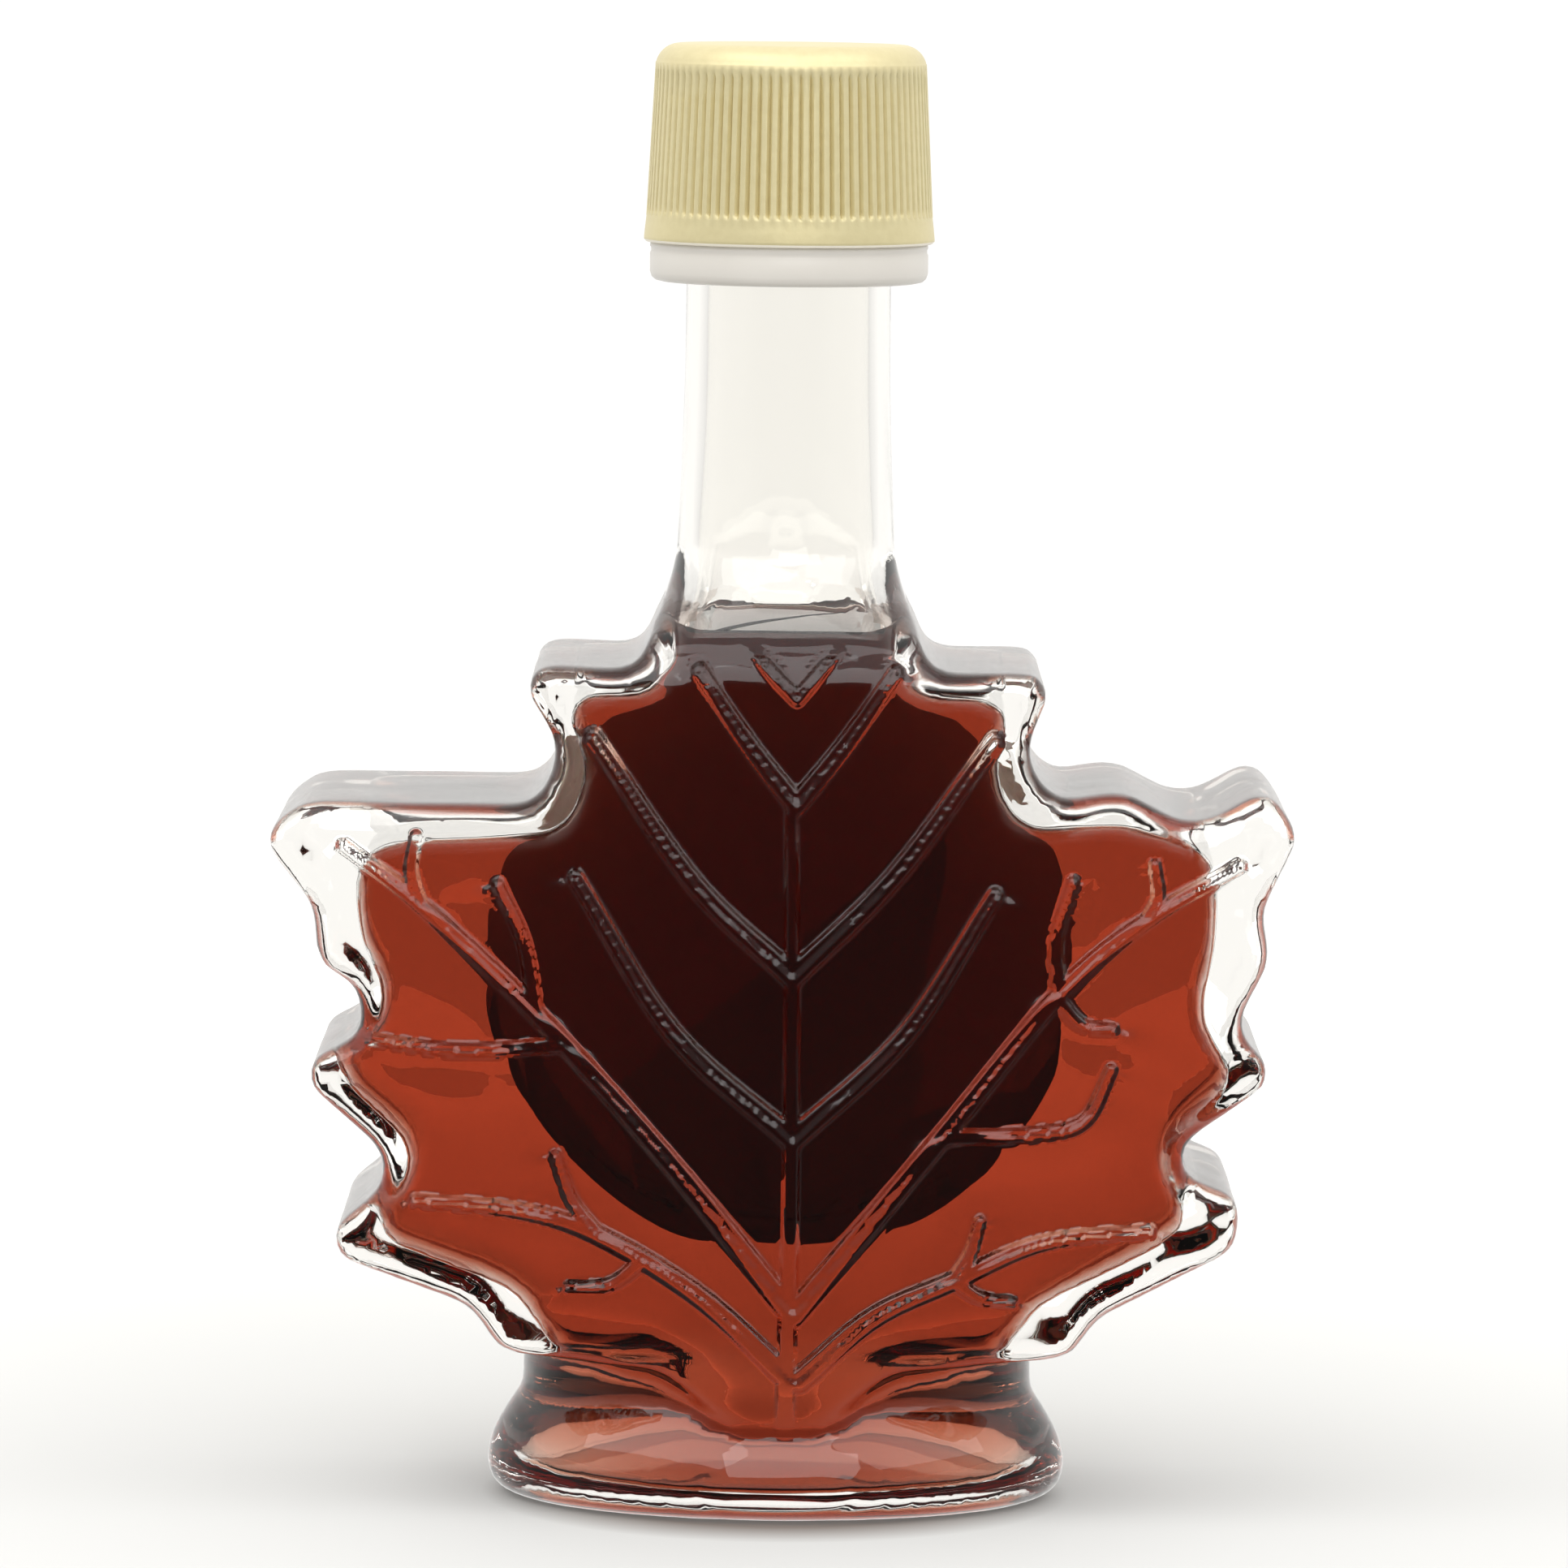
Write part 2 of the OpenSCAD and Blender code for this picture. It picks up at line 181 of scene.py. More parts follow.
def leaf_slab(name, corners, deep, narrow, edge, crown):
    pts, inward = outline(corners)

    def ring(moved, drawn, less, side):
        p = MIDDLE + (pts + inward * moved - MIDDLE) * drawn
        y = lean(p[:, 1], deep, narrow) - less
        if side < 0:
            y = y + swell(p[:, 0], p[:, 1], crown)
        return np.stack([p[:, 0], side * y, p[:, 1]], axis=1)

    draws = [0.1, 0.25, 0.4, 0.55, 0.7, 0.8, 0.88, 0.94, 0.98]
    turns = [math.radians(a) for a in (0, 18, 36, 54, 72, 90)]
    face = [ring(edge, f, 0, 1) for f in draws]
    back = [ring(edge * (1 - math.cos(a)), 1, edge * (1 - math.sin(a)), 1) for a in reversed(turns)]
    front = [ring(edge * (1 - math.cos(a)), 1, edge * (1 - math.sin(a)), -1) for a in turns]
    front_face = [ring(edge, f, 0, -1) for f in reversed(draws)]
    return loft(name, face + back + front + front_face,
                [(MIDDLE[0], deep, MIDDLE[1]), (MIDDLE[0], -deep - crown, MIDDLE[1])])


def shoulder(name, side, deep, narrow, edge, crown):
    """From the leaf's oblong section to the round of the neck."""
    rings = []
    for z in np.linspace(SHOULDER_Z - 1.5, SLOPE_TOP + 2, 16):
        t = min(1, max(0, (z - SHOULDER_Z) / (SLOPE_TOP - SHOULDER_Z)))
        x = narrow + (side - narrow) * (1 - t) ** 1.7
        y = float(lean(z, deep, narrow))
        c = min(edge + (narrow - edge) * t * (2 - t), x, y)
        out = float(swell(0, z, crown)) * (1 - t)
        angles = [2 * math.pi * (i + 0.5) / 64 for i in range(64)]
        ring = []
        for a in angles:
            across = math.copysign(x - c, math.cos(a)) + c * math.cos(a)
            deep_in = math.copysign(y - c, math.sin(a)) + c * math.sin(a)
            ring.append((across, deep_in - (out if math.sin(a) < 0 else 0), z))
        rings.append(ring)
    return loft(name, rings, [(0, 0, SHOULDER_Z - 1.5), (0, 0, SLOPE_TOP + 2)])


def ellipses(name, slices, count=80):
    """A closed solid through level ovals: each is height, half width, half depth."""
    rings = [[(w * math.cos(2 * math.pi * i / count), d * math.sin(2 * math.pi * i / count), z)
              for i in range(count)] for z, w, d in slices]
    return loft(name, rings, [(0, 0, slices[0][0]), (0, 0, slices[-1][0])])


def neck_r(z):
    t = max(0.0, min(1.0, (z - SLOPE_LOW) / (RING_Z - SLOPE_LOW)))
    return NECK_R + NECK_FLARE * (1 - t) ** 2.2


def neck(name, less, low, high):
    return ellipses(name, [(z, neck_r(z) - less, neck_r(z) - less) for z in np.linspace(low, high, 30)])


def foot_in(z):
    if z < HEEL_R:
        return HEEL_R - math.sqrt(HEEL_R ** 2 - (HEEL_R - z) ** 2)
    return WAIST_IN * (1 - math.cos(math.pi / 2 * min(1, (z - HEEL_R) / (WAIST_Z - HEEL_R))))


def only(*pieces):
    """Nothing but these is selected, and the first is active."""
    bpy.ops.object.select_all(action="DESELECT")
    for piece in pieces:
        piece.select_set(True)
    bpy.context.view_layer.objects.active = pieces[0]


def use(piece, kind, **settings):
    """Adds a modifier and applies it."""
    modifier = piece.modifiers.new(kind.title(), kind)
    for name, value in settings.items():
        setattr(modifier, name, value)
    only(piece)
    bpy.ops.object.modifier_apply(modifier=modifier.name)


def fuse(name, pieces, voxel, rounds):
    """Overlapping solids as one even skin, with the joins between them blended."""
    only(*pieces)
    bpy.ops.object.join()
    pieces[0].name = name
    use(pieces[0], "REMESH", mode="VOXEL", voxel_size=voxel * MM, adaptivity=0)
    use(pieces[0], "SMOOTH", factor=0.5, iterations=rounds)
    return pieces[0]


def points(piece):
    flat = np.empty(3 * len(piece.data.vertices))
    piece.data.vertices.foreach_get("co", flat)
    return flat.reshape(-1, 3) / MM


def normals(piece):
    flat = np.empty(3 * len(piece.data.vertices))
    piece.data.vertices.foreach_get("normal", flat)
    return flat.reshape(-1, 3)


def set_points(piece, pts):
    piece.data.vertices.foreach_set("co", (pts * MM).ravel())
    piece.data.update()


def ripple(pts, size, seed):
    """A smooth random height for each point, about -1 to 1, with waves of this size."""
    shift = Vector((seed * 7.3, seed * 3.1, seed * 5.7))
    return np.array([noise.noise(Vector(p) / size + shift) for p in pts])


def curve_points(ctrl, count=22):
    """A smooth curve through the points (Catmull-Rom)."""
    ctrl = np.array(ctrl, float)
    p = np.vstack([2 * ctrl[0] - ctrl[1], ctrl, 2 * ctrl[-1] - ctrl[-2]])
    spans = len(ctrl) - 1
    out = []
    for i in range(count + 1):
        s = min(spans - 1e-6, i * spans / count)
        k, t = int(s), s - int(s)
        a, b, c, d = p[k:k + 4]
        bend, twist = 2 * a - 5 * b + 4 * c - d, 3 * b - a - 3 * c + d
        out.append(0.5 * (2 * b + (c - a) * t + bend * t * t + twist * t ** 3))
    return np.array(out)


def to_veins(x, z):
    """For each point: its distance from the edge of the nearest vein (below 0 inside it), and from
    0 to 1 how far it stands up on one and how much it lies on the soft slope under one."""
    best = np.full(len(x), 99.0)
    ridge, slope = np.zeros(len(x)), np.zeros(len(x))
    for ctrl, start, end in VEINS:
        line = curve_points(ctrl)
        widths = np.linspace(start, end, len(line))
        near, under = np.full(len(x), 99.0), np.zeros(len(x))
        for (a, b), w in zip(zip(line[:-1], line[1:]), widths):
            along = b - a
            t = np.clip(((x - a[0]) * along[0] + (z - a[1]) * along[1]) / (along @ along), 0, 1)
            over = z - a[1] - t * along[1]
            far = np.hypot(x - a[0] - t * along[0], over)
            closer = far - w / 2 < near
            near = np.where(closer, far - w / 2, near)
            under = np.where(closer, -over / np.maximum(far, 0.01), under)
        best = np.minimum(best, near)
        size = min(1, start / 1.5)
        ridge = np.maximum(ridge, size * ease(0.5 - near / VEIN_FLANK))
        if size == 1:
            slope = np.maximum(slope, ease(under / 0.7) * np.exp(-(np.maximum(near, 0) / 4.5) ** 2))
    return best, ridge, slope


def on_face(pts, nor, side):
    """Points on the flat of the leaf's front (-1) or back (1)."""
    return (side * nor[:, 1] > 0.75) & (side * pts[:, 1] > 12) & (pts[:, 2] > 8)


def refine(piece, reach):
    """Halves the mesh near the front's veins."""
    mid = np.array([list(p.center) for p in piece.data.polygons]) / MM
    nor = np.array([list(p.normal) for p in piece.data.polygons])
    near = on_face(mid, nor, -1)
    near[near] = np.abs(to_veins(mid[near, 0], mid[near, 2])[0]) < reach
    only(piece)
    bpy.ops.object.mode_set(mode="EDIT")
    bpy.ops.mesh.select_mode(type="FACE")
    bpy.ops.mesh.select_all(action="DESELECT")
    bpy.ops.object.mode_set(mode="OBJECT")
    piece.data.polygons.foreach_set("select", near)
    bpy.ops.object.mode_set(mode="EDIT")
    bpy.ops.mesh.subdivide(number_cuts=1)
    bpy.ops.object.mode_set(mode="OBJECT")


def ease(t):
    t = np.clip(t, 0, 1)
    return t * t * (3 - 2 * t)


def round_neck(pts, less):
    """Trues the neck: above the shoulder each point goes to the exact radius."""
    far = np.hypot(pts[:, 0], pts[:, 1])
    t = np.clip((pts[:, 2] - SLOPE_LOW) / (RING_Z - SLOPE_LOW), 0, 1)
    radius = NECK_R + NECK_FLARE * (1 - t) ** 2.2 - less
    share = ease((pts[:, 2] - SLOPE_TOP) / 4) * (np.abs(far - radius) < 1)
    pts[:, :2] *= (1 + share * (radius / np.maximum(far, 1) - 1))[:, None]
    return pts


def true_face(pts, nor, side, deep, narrow, crown):
    """Takes the remesh's small waves out of a face: points close to the drawn surface go onto it."""
    face = on_face(pts, nor, side)
    x, y, z = pts[face].T
    drawn = side * (lean(z, deep, narrow) + (swell(x, z, crown) if side < 0 else 0))
    share = ease((0.5 - np.abs(y - drawn)) / 0.3) * ease((z - 20) / 4)
    pts[face, 1] = y + share * (drawn - y)


def build_outside():
    neck_out = neck_r(SLOPE_TOP)
    heights = [0, 0.15, 0.6, 1.2, 2, 3, 4.2, 5.5, 7, 8.5, 10, 11.5, 12.5, 15, 18, 21]
    parts = [leaf_slab("leaf", LEAF, HALF_D, neck_out, EDGE_R, CROWN),
             shoulder("shoulder", 15.6, HALF_D, neck_out, EDGE_R, CROWN),
             neck("neck", 0, SLOPE_LOW - 3, MOUTH_Z),
             ellipses("foot", [(z, FOOT_W / 2 - foot_in(z), FOOT_D / 2 - foot_in(z) * 1.1) for z in heights])]
    glass = fuse("glass", parts, 1.05, 6)
    refine(glass, 1.2)
    refine(glass, 0.8)
    pts, nor = points(glass), normals(glass)
    true_face(pts, nor, 1, HALF_D, neck_out, CROWN)
    true_face(pts, nor, -1, HALF_D, neck_out, CROWN)
    face = on_face(pts, nor, -1)
    far, ridge, slope = to_veins(pts[face, 0], pts[face, 2])
    height = VEIN_H * ridge - 0.4 + PILLOW * slope
    fade = ease((pts[face, 2] - 9) / 8) * ease((114 - pts[face, 2]) / 10)
    fade *= ease((-nor[face, 1] - 0.75) / 0.2)
    pts[face, 1] -= height * fade
    pts = round_neck(pts, 0)
    wave = 0.07 * ripple(pts, 9, 1)
    calm = ease((pts[:, 2] - 1.5) / 4) * ease((138 - pts[:, 2]) / 4)
    under_label = (nor[:, 1] > 0.8) & (np.hypot(pts[:, 0], pts[:, 2] - LABEL_Z) < LABEL_R + 2.5)
    wave[under_label] = 0
    pts += nor * (wave * calm)[:, None]
    bottom = (nor[:, 2] < -0.6) & (pts[:, 2] < 1.5)
    rho = np.hypot(pts[:, 0] / (FOOT_W / 2 - HEEL_R - 1), pts[:, 1] / (FOOT_D / 2 - HEEL_R - 1))
    rise = 0.25 * ease((1 - rho) / 0.12) + (PUSH_UP - 0.25) * ease((1 - rho) / 0.8)
    pts[bottom, 2] = np.where(rho[bottom] < 1, rise[bottom], pts[bottom, 2])
    pts[:, 2] = np.maximum(pts[:, 2], 0.04)
    set_points(glass, pts)
    return glass


def build_hollow():
    neck_in = neck_r(SLOPE_TOP) - NECK_WALL
    w = FOOT_W / 2 - WAIST_IN - FOOT_WALL
    d = FOOT_D / 2 - WAIST_IN * 1.1 - FOOT_WALL + 0.4
    out = WAIST_IN * 0.75
    low = [(BASE_T + 4 * (1 - math.cos(a)), w + out - 4 * (1 - math.sin(a)), d + out - 4 * (1 - math.sin(a)))
           for a in (math.radians(k) for k in range(10, 91, 10))]
    low += [(z, w + out * (1 + math.cos(math.pi * t)) / 2, d + out * (1 + math.cos(math.pi * t)) / 2)
            for z, t in ((9.1, 0.25), (10.2, 0.5), (11.4, 0.75), (12.5, 1))]
    parts = [leaf_slab("hollow_leaf", HOLLOW, HALF_D - WALL, neck_in, INNER_R, 0),
             shoulder("hollow_shoulder", 12, HALF_D - WALL, neck_in, INNER_R, 0),
             neck("hollow_neck", NECK_WALL, SLOPE_LOW, MOUTH_Z + 3),
             ellipses("hollow_foot", low + [(20, w - 0.2, d), (LEAF_Z + 6, w - 0.5, d)])]
    hollow = fuse("hollow", parts, 1.3, 6)
    pts, nor = points(hollow), normals(hollow)
    pts = round_neck(pts, NECK_WALL)
    true_face(pts, nor, 1, HALF_D - WALL, neck_in, 0)
    true_face(pts, nor, -1, HALF_D - WALL, neck_in, 0)
    side_on = 1 - 0.75 * np.abs(nor[:, 1])
    wave = 0.12 * side_on * ripple(pts, 12, 4) + 0.06 * ripple(pts, 20, 5)
    calm = 1 - 0.9 * ease((pts[:, 2] - 104) / 8)
    pts += nor * (wave * calm)[:, None]
    set_points(hollow, pts)
    return hollow


def smooth(piece, angle=40):
    only(piece)
    bpy.ops.object.shade_smooth_by_angle(angle=math.radians(angle))


def copy_of(piece, name):
    twin = piece.copy()
    twin.data = piece.data.copy()
    twin.name = name
    bpy.context.collection.objects.link(twin)
    return twin


def build_syrup(hollow):
    """The hollow up to the level, a hair into the glass, with its rim drawn up the wall."""
    syrup = copy_of(hollow, "syrup_fill")
    rim = 0.8
    only(syrup)
    bpy.ops.object.mode_set(mode="EDIT")
    bpy.ops.mesh.select_all(action="SELECT")
    bpy.ops.mesh.bisect(plane_co=(0, 0, (LEVEL_Z + rim) * MM), plane_no=(0, 0, 1),
                        use_fill=True, clear_outer=True)
    bpy.ops.mesh.select_all(action="SELECT")
    bpy.ops.transform.shrink_fatten(value=0.08 * MM)
    bpy.ops.object.mode_set(mode="OBJECT")
    shape = bmesh.new()
    shape.from_mesh(syrup.data)
    top = max(shape.faces, key=lambda f: f.calc_area())
    for inset, drop in ((0.25, 0.35), (0.4, 0.25), (0.7, 0.15), (1.2, 0.05)):
        bmesh.ops.inset_region(shape, faces=[top], thickness=inset * MM, depth=0)
        for v in top.verts:
            v.co.z -= drop * MM
    shape.to_mesh(syrup.data)
    shape.free()
    return syrup


# ---------- closure and label, each built on its own --------

def spun(name, profile, steps):
    """A closed section, as radius and height, spun round the axis."""
    mesh = bpy.data.meshes.new(name)
    n = len(profile)
    mesh.from_pydata([(r * MM, 0, z * MM) for r, z in profile], [(i, i + 1) for i in range(n - 1)], [])
    piece = bpy.data.objects.new(name, mesh)
    bpy.context.collection.objects.link(piece)
    only(piece)
    bpy.ops.object.mode_set(mode="EDIT")
    bpy.ops.mesh.select_all(action="SELECT")
    bpy.ops.mesh.spin(steps=steps, angle=2 * math.pi, center=(0, 0, 0), axis=(0, 0, 1))
    bpy.ops.mesh.select_all(action="SELECT")
    bpy.ops.mesh.remove_doubles(threshold=0.005 * MM)
    bpy.ops.mesh.normals_make_consistent(inside=False)
    bpy.ops.object.mode_set(mode="OBJECT")
    return piece


RIBS = 84
CAP_Z, CAP_TOP_Z, CAP_R, CAP_TOP_R, CAP_ROUND = 144.4, 167.0, 16.6, 15.5, 2.8
RIB_LOW, RIB_HIGH = CAP_Z + 3.4, CAP_TOP_Z - 2.6


def build_cap():
    side = [(CAP_R, CAP_Z + 0.25), (CAP_R, CAP_Z + 0.6),
            (CAP_R - 0.12, CAP_Z + 1.8), (CAP_R - 0.25, CAP_Z + 2.9)]
    heights = [RIB_LOW + h for h in (-0.35, 0, 0.35, 0.8)]
    heights += list(np.linspace(RIB_LOW + 3, RIB_HIGH - 1, 6)) + [RIB_HIGH - 0.3, RIB_HIGH + 0.4]
    taper = (CAP_R - 0.25 - CAP_TOP_R) / (CAP_TOP_Z - CAP_ROUND - RIB_LOW)
    side += [(CAP_R - 0.25 - taper * (z - RIB_LOW), z) for z in heights]
    turn = [(CAP_TOP_R - CAP_ROUND * (1 - math.cos(a)), CAP_TOP_Z - CAP_ROUND * (1 - math.sin(a)))
            for a in (math.radians(k) for k in range(14, 91, 8))]
    inside = [(0, CAP_TOP_Z - 2), (13, CAP_TOP_Z - 2), (13.1, CAP_Z + 6), (13.7, CAP_Z + 0.2), (14, CAP_Z)]
    profile = inside + [(CAP_R - 0.25, CAP_Z)] + side + turn + [(8, CAP_TOP_Z), (0, CAP_TOP_Z)]
    cap = spun("screw_cap", profile, RIBS * 4)
    pts = points(cap)
    column = np.round(np.arctan2(pts[:, 1], pts[:, 0]) / (2 * math.pi) * RIBS * 4).astype(int) % 4
    out = np.hypot(pts[:, 0], pts[:, 1])
    groove = ease((pts[:, 2] - RIB_LOW + 0.5) / 0.8) * ease((RIB_HIGH + 0.1 - pts[:, 2]) / 1.2)
    depth = np.where(column == 0, 0.6, np.where(column == 2, 0, 0.05)) * groove * (out > 14.6)
    pts[:, :2] *= (1 - depth / np.maximum(out, 1))[:, None]
    set_points(cap, pts)
    return cap


def build_ring():
    low, high, bore = RING_Z, CAP_Z, NECK_R + 0.15
    out = [(1.3, low), (0.6, low + 0.15), (0.2, low + 0.5), (0, low + 1.1), (0, high - 1.3),
           (0.12, high - 1.1), (0.12, high - 0.7), (0, high - 0.5), (0.05, high - 0.1), (0.2, high)]
    profile = [(bore, high), (bore, low + 0.2), (bore + 0.2, low)] + [(RING_R - less, z) for less, z in out]
    return spun("milky_ring", profile + [(bore, high)], 128)


def build_label():
    place = (0, (HALF_D + LABEL_T / 2) * MM, LABEL_Z * MM)
    bpy.ops.mesh.primitive_cylinder_add(vertices=128, radius=LABEL_R * MM, depth=LABEL_T * MM,
                                        location=place, rotation=(math.pi / 2, 0, 0))
    label = bpy.context.active_object
    label.name = "round_label"
    bpy.ops.object.transform_apply(location=True, rotation=True, scale=True)
    use(label, "BEVEL", width=0.06 * MM, segments=2, limit_method="ANGLE")
    return label


# ---------- materials ----------

class Wire:
    """A socket's value, which adds Math nodes when it is added, multiplied and so on."""

    def __init__(self, shader, socket):
        self.shader, self.socket = shader, socket

    def math(self, operation, a, b=0.0):
        return self.shader.node("Math", {"operation": operation}, [a, b])

    def __add__(self, other):
        return self.math("ADD", self, other)

    def __sub__(self, other):
        return self.math("SUBTRACT", self, other)

    def __rsub__(self, other):
        return self.math("SUBTRACT", other, self)

    def __mul__(self, other):
        return self.math("MULTIPLY", self, other)

    def __gt__(self, other):
        return self.math("GREATER_THAN", self, other)

    def __lt__(self, other):
        return self.math("LESS_THAN", self, other)

    __radd__ = __add__
    __rmul__ = __mul__


class Tree:
    """The nodes of a material or of the world, which are added by one method."""

    def __init__(self, owner):
        owner.use_nodes = True
        self.nodes, self.links = owner.node_tree.nodes, owner.node_tree.links

    def set(self, node, values):
        names = values.items() if isinstance(values, dict) else enumerate(values)
        for name, value in names:
            name = name.replace("_", " ").title().replace("Ior", "IOR") if isinstance(name, str) else name
            if isinstance(value, Wire):
                self.links.new(value.socket, node.inputs[name])
            else:
                node.inputs[name].default_value = value

    def node(self, kind, settings=None, values=(), out=0):
        node = self.nodes.new("ShaderNode" + kind)
        for name, value in (settings or {}).items():
            if name == "stops":
                ramp = node.color_ramp
                for place, colour in value[1:-1]:
                    ramp.elements.new(place).color = colour
                ends = [ramp.elements[0], ramp.elements[-1]]
                for end, (place, colour) in zip(ends, (value[0], value[-1])):
                    end.position, end.color = place, colour
            else:
                setattr(node, name, value)
        self.set(node, values)
        return Wire(self, node.outputs[out])

    def part(self, vector, axis):
        return self.node("SeparateXYZ", {}, [vector], out=axis)

    def length(self, vector):
        return self.node("VectorMath", {"operation": "LENGTH"}, [vector], out="Value")


class Shader(Tree):
    """A material with its own surface shader."""

    def __init__(self, name, **surface):
        self.material = bpy.data.materials.new(name)
        super().__init__(self.material)
        self.surface = self.nodes["Principled BSDF"]
        self.output = self.nodes["Material Output"]
        self.set(self.surface, surface)

    def place(self):
        return self.node("TexCoord", out="Object")

    def finish(self, **values):
        self.set(self.surface, values)
        return self.material


def glass_material(name="clear_glass", tint=(1, 1, 1, 1)):
    s = Shader(name, base_color=(0.995, 0.985, 0.955, 1), roughness=0.0, ior=1.52,
               transmission_weight=1.0, specular_tint=tint)
    fine = s.node("TexNoise", {}, {"Vector": s.place(), "Scale": 260.0, "Detail": 2.0})
    bump = s.node("Bump", {}, {"Strength": 0.03, "Distance": 0.0001, "Height": fine})
    return s.finish(normal=bump)


def wet_glass_material():
    """Glass that the syrup wets, which doesn't mirror at all."""
    return glass_material("wet_glass", (0, 0, 0, 1))


def side_glass_material():
    """The leaf's upward-facing side walls, which are faintly grained by the mould; their darker brownish-grey
    base colour and reflection tint are painted shade for the dim studio seen through them.
    """
    s = Shader("side_glass_painted_shade", base_color=(0.68, 0.6, 0.54, 1), specular_tint=(0.6, 0.5, 0.43, 1), ior=1.52,
               transmission_weight=1.0)
    grain = s.node("TexNoise", {}, {"Vector": s.place(), "Scale": 1500.0, "Detail": 2.0})
    bump = s.node("Bump", {}, {"Strength": 0.3, "Distance": 0.0001, "Height": grain})
    return s.finish(roughness=0.06 + grain * 0.16, normal=bump)


def syrup_material():
    s = Shader("amber_syrup", base_color=(1, 1, 1, 1), roughness=0.0, ior=1.47, specular_tint=(0, 0, 0, 1),
               transmission_weight=1.0)
    soak = s.node("VolumeAbsorption", {}, {"Color": (0.712, 0.24, 0.024, 1), "Density": 125.0})
    s.set(s.output, {"Volume": soak})
    return s.finish()


def cap_material():
    s = Shader("gold_cap", roughness=0.36, specular_ior_level=0.3)
    place = s.place()
    height = s.part(place, 2)
    grain = s.node("TexNoise", {}, {"Vector": place, "Scale": 900.0, "Detail": 3.0})
    gold = s.node("MixRGB", {}, [grain, (0.68, 0.59, 0.33, 1), (0.76, 0.68, 0.41, 1)])
    lip = height < (CAP_Z + 0.3) * MM
    colour = s.node("MixRGB", {}, [lip, gold, (0.85, 0.8, 0.68, 1)])
    bump = s.node("Bump", {}, {"Strength": 0.15, "Distance": 0.0002, "Height": grain})
    return s.finish(base_color=colour, metallic=0.35 - lip * 0.35, roughness=0.38 + grain * 0.1, normal=bump)


def ring_material():
    s = Shader("white_plastic", roughness=0.35, ior=1.49)
    place = s.place()
    cloud = s.node("TexNoise", {}, {"Vector": place, "Scale": 120.0})
    colour = s.node("MixRGB", {}, [cloud, (0.64, 0.61, 0.56, 1), (0.70, 0.67, 0.62, 1)])
    return s.finish(base_color=colour, roughness=0.3 + cloud * 0.12)


def label_material():
    s = Shader("label_paper", roughness=0.7, subsurface_weight=0.15, subsurface_scale=0.001)
    place = s.place()
    x, y, z = s.part(place, 0), s.part(place, 1), s.part(place, 2) - LABEL_Z * MM
    far = s.length(s.node("CombineXYZ", {}, [x, 0.0, z]))
    fibre = s.node("TexNoise", {}, {"Vector": place, "Scale": 1400.0, "Detail": 4.0})
    paper = s.node("MixRGB", {}, [fibre, (0.80, 0.75, 0.62, 1), (0.86, 0.81, 0.69, 1)])
    ring = (far > 30.2 * MM) * (far < 30.9 * MM) + (far > 28.9 * MM) * (far < 29.2 * MM)
    mark = ring * (y > (HALF_D + 0.1) * MM)
    colour = s.node("MixRGB", {}, [mark, paper, (0.28, 0.09, 0.05, 1)])
    bump = s.node("Bump", {}, {"Strength": 0.2, "Distance": 0.0001, "Height": fibre})
    return s.finish(base_color=colour, roughness=0.62 + fibre * 0.2, normal=bump)


def floor_material():
    s = Shader("pale_floor", roughness=0.75)
    mottle = s.node("TexNoise", {}, {"Vector": s.place(), "Scale": 6.0, "Detail": 3.0})
    # The floor glows: evenly pale far out, and dimming towards the bottle as a painted soft shadow.
    far = s.length(s.place())
    painted_shadow_fade = s.node("MapRange", {"interpolation_type": "SMOOTHSTEP"},
                  {"Value": far, "From Min": 0.08, "From Max": 0.5})
    glow_with_painted_shadow = s.node("MixRGB", {}, [painted_shadow_fade, (0.12, 0.118, 0.114, 1), (0.7, 0.695, 0.685, 1)])
    s.set(s.surface, {"Emission Color": glow_with_painted_shadow, "Emission Strength": 1.0})
    pale = s.node("MixRGB", {}, [mottle, (0.58, 0.58, 0.57, 1), (0.62, 0.62, 0.61, 1)])
    # Painted contact shadow: the base colour turns dark brown right under the foot.
    under = s.node("MapRange", {}, {"Value": far, "From Min": 0.024, "From Max": 0.034})
    return s.finish(base_color=s.node("MixRGB", {}, [under, (0.12, 0.08, 0.06, 1), pale]))


# ---------- the object ----------

bottle = build_outside()
hollow = build_hollow()
syrup = build_syrup(hollow)
use(bottle, "BOOLEAN", operation="DIFFERENCE", solver="MANIFOLD", object=hollow)
bpy.data.objects.remove(hollow)
bottle.name = "leaf_bottle"
skin = BVHTree.FromPolygons([v.co.copy() for v in syrup.data.vertices],
                            [tuple(p.vertices) for p in syrup.data.polygons])
wetted = [p.index for p in bottle.data.polygons
          if p.center.z < LEVEL_Z * MM and skin.find_nearest(p.center, 0.4 * MM)[0] is not None]
cap, ring, label = build_cap(), build_ring(), build_label()

PIECES = [(bottle, "bottle", "clear_glass", glass_material), (syrup, "syrup", "amber_syrup", syrup_material),
          (cap, "cap", "gold_cap", cap_material), (ring, "tamper_ring", "white_plastic", ring_material),
          (label, "back_label", "label_paper", label_material)]
for piece, node, slot, material in PIECES:
    smooth(piece, 50)
    piece.data.materials.clear()
    piece.data.materials.append(material())
    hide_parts(node)
    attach(piece, "root")
    print(piece.name, sum(len(p.vertices) - 2 for p in piece.data.polygons), "triangles")

bottle.data.materials.append(wet_glass_material())
bottle.data.materials.append(side_glass_material())
# Upward-facing side walls get the side glass, whose darker tint is painted shade.
for face in bottle.data.polygons:
    if abs(face.normal.y) < 0.5 and face.normal.z > 0.3 and 21 * MM < face.center.z < 104 * MM:
        face.material_index = 2
for index in wetted:
    bottle.data.polygons[index].material_index = 1

# ---------- floor, light and camera ----------

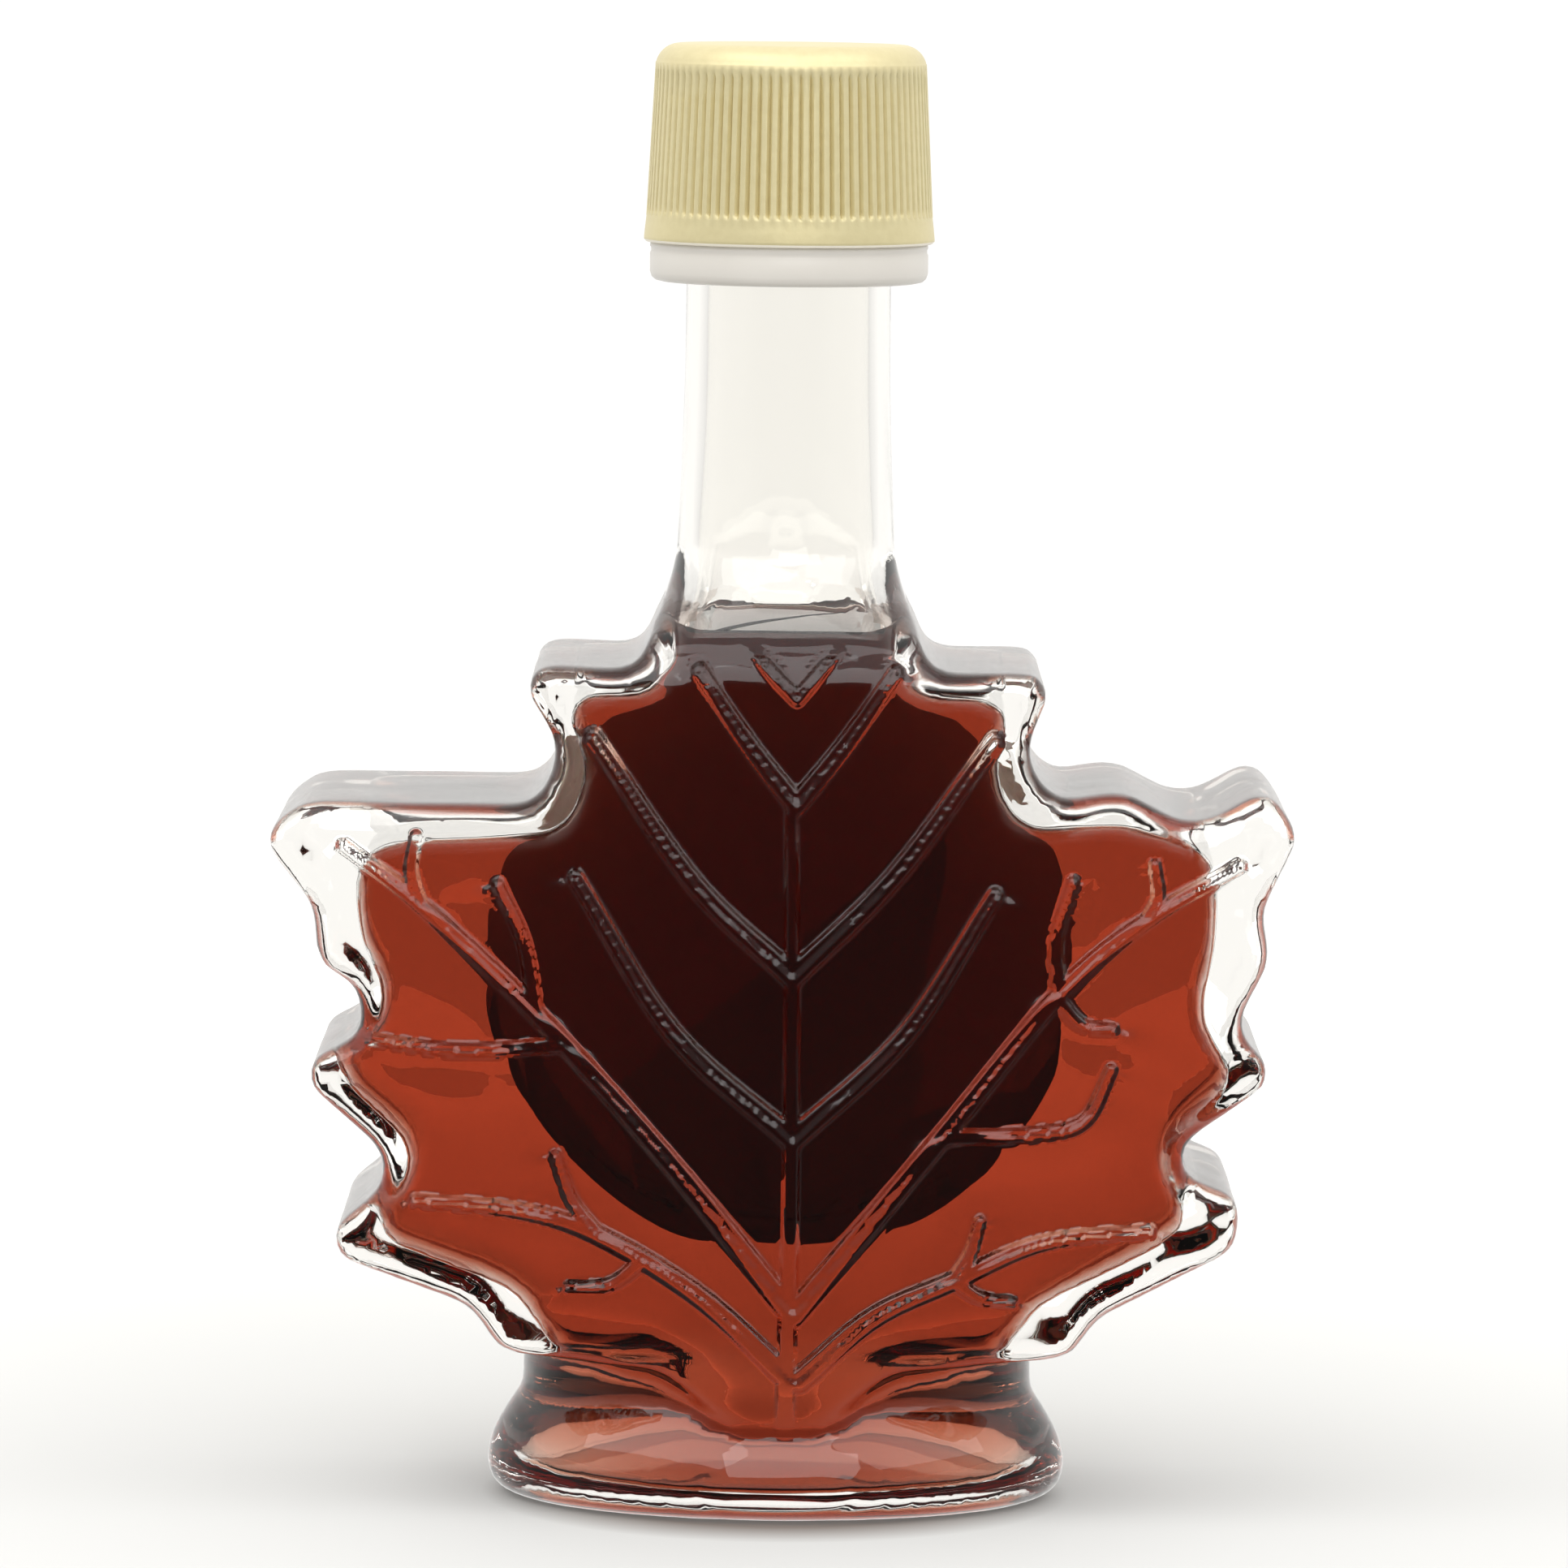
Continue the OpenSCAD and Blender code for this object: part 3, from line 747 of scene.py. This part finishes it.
bpy.ops.mesh.primitive_circle_add(vertices=96, radius=0.55, fill_type="NGON", location=(0, 0, 0))
floor = bpy.context.active_object
floor.name = "floor"
floor.data.materials.append(floor_material())
floor.visible_glossy = False

# The studio is bright behind the bottle and above it, and dim in front of it.
world = bpy.data.worlds.new("studio")
bpy.context.scene.world = world
studio = Tree(world)
look = studio.node("TexCoord", out="Generated")
above = studio.node("Math", {"operation": "MAXIMUM"}, [studio.part(look, 2), 0.0])
behind = studio.node("MapRange", {}, {"Value": 2.0 * above + studio.part(look, 1), "From Min": -1.0})
sky = studio.node("ValToRGB", {"stops": [
    (0.08, (0.1, 0.096, 0.09, 1)), (0.36, (0.34, 0.34, 0.333, 1)), (0.52, (0.36, 0.36, 0.353, 1)),
    (0.9, (1.06, 1.05, 1.03, 1))]}, {"Fac": behind})
studio.set(studio.nodes["Background"], {"Color": sky})


def soft_light(name, place, target, size, power):
    data = bpy.data.lights.new(name, "AREA")
    data.shape = "RECTANGLE"
    data.size, data.size_y = size
    data.energy = power
    light = bpy.data.objects.new(name, data)
    bpy.context.collection.objects.link(light)
    light.location = place
    light.rotation_euler = (Vector(target) - Vector(place)).to_track_quat("-Z", "Y").to_euler()


soft_light("key", (-0.6, -0.6, 1.3), (0, 0, 0.14), (1.4, 1.2), 9)
soft_light("fill", (0.8, -0.5, 1.2), (0, 0, 0.14), (1.2, 1.2), 5.5)
soft_light("front", (0.15, -1.4, 0.95), (0, 0, 0.12), (1.1, 0.9), 7)

EYE = Vector((0.0001, -1.1, 0.19))
AIM_Z, ROLL, LENS = 0.0822, 0.65, 220.9
camera_data = bpy.data.cameras.new("camera")
camera_data.sensor_width = 36
camera_data.lens = LENS
camera_data.clip_start, camera_data.clip_end = 0.05, 20
camera = bpy.data.objects.new("camera", camera_data)
bpy.context.collection.objects.link(camera)
camera.location = EYE
camera.rotation_euler = (Vector((EYE.x, 0, AIM_Z)) - EYE).to_track_quat("-Z", "Y").to_euler()
camera.rotation_euler.rotate_axis("Z", math.radians(ROLL))
bpy.context.scene.camera = camera
bpy.context.scene.view_settings.view_transform = "Standard"
